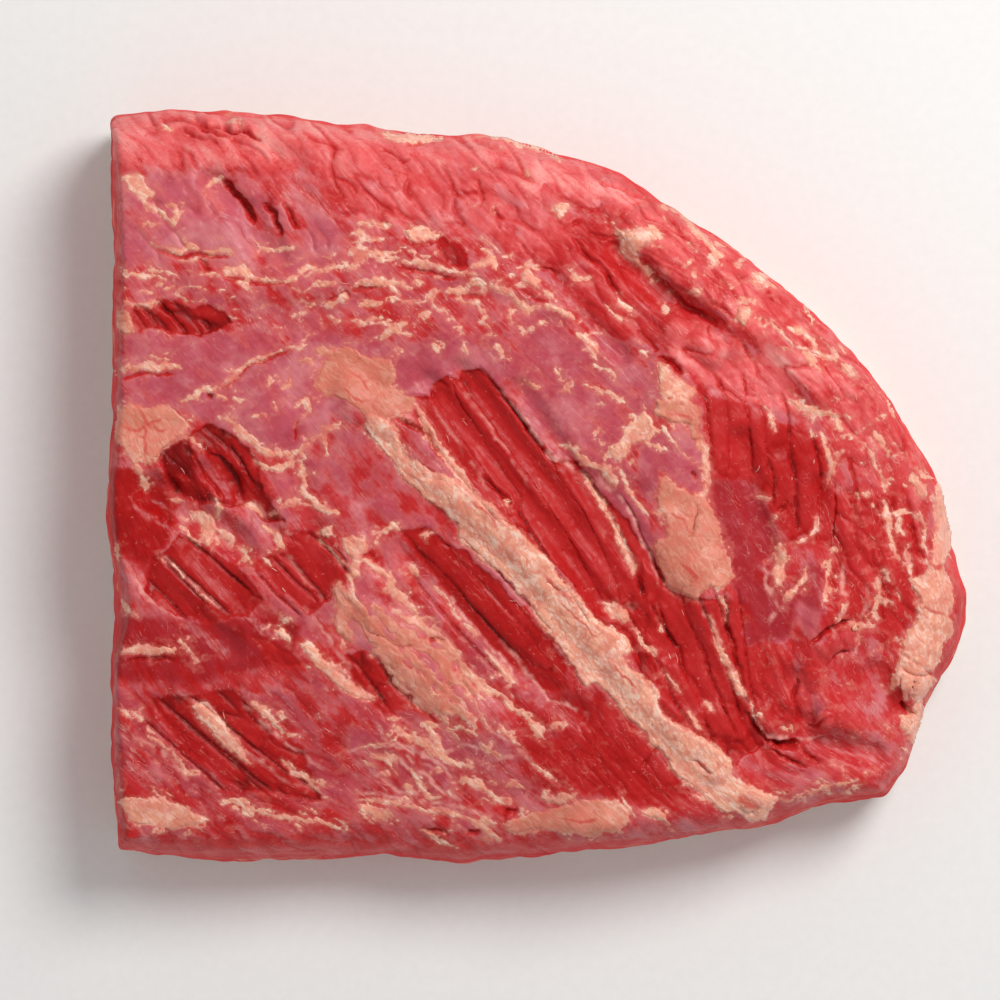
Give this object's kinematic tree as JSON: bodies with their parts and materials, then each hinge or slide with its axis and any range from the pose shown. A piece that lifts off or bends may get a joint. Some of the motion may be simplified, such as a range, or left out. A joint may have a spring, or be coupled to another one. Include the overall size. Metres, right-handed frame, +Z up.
{
  "type": "raw beef brisket",
  "caption": "Slab of raw beef brisket, cut straight at one end and rounded at the other, lean side up with fat seams, lying on its flat fat side.",
  "frame": {"origin": "on the resting plane, under the middle of the bounding box", "axes": "+Z up from the flat fat side, +X from the straight cut to the rounded end, +Y to the long edge"},
  "size_m": [0.268, 0.2346, 0.0555],
  "materials": {
    "raw_beef": "wet raw meat with cream fat"
  },
  "bodies": {
    "root": {"brisket": "raw_beef"}
  },
  "joints": []
}
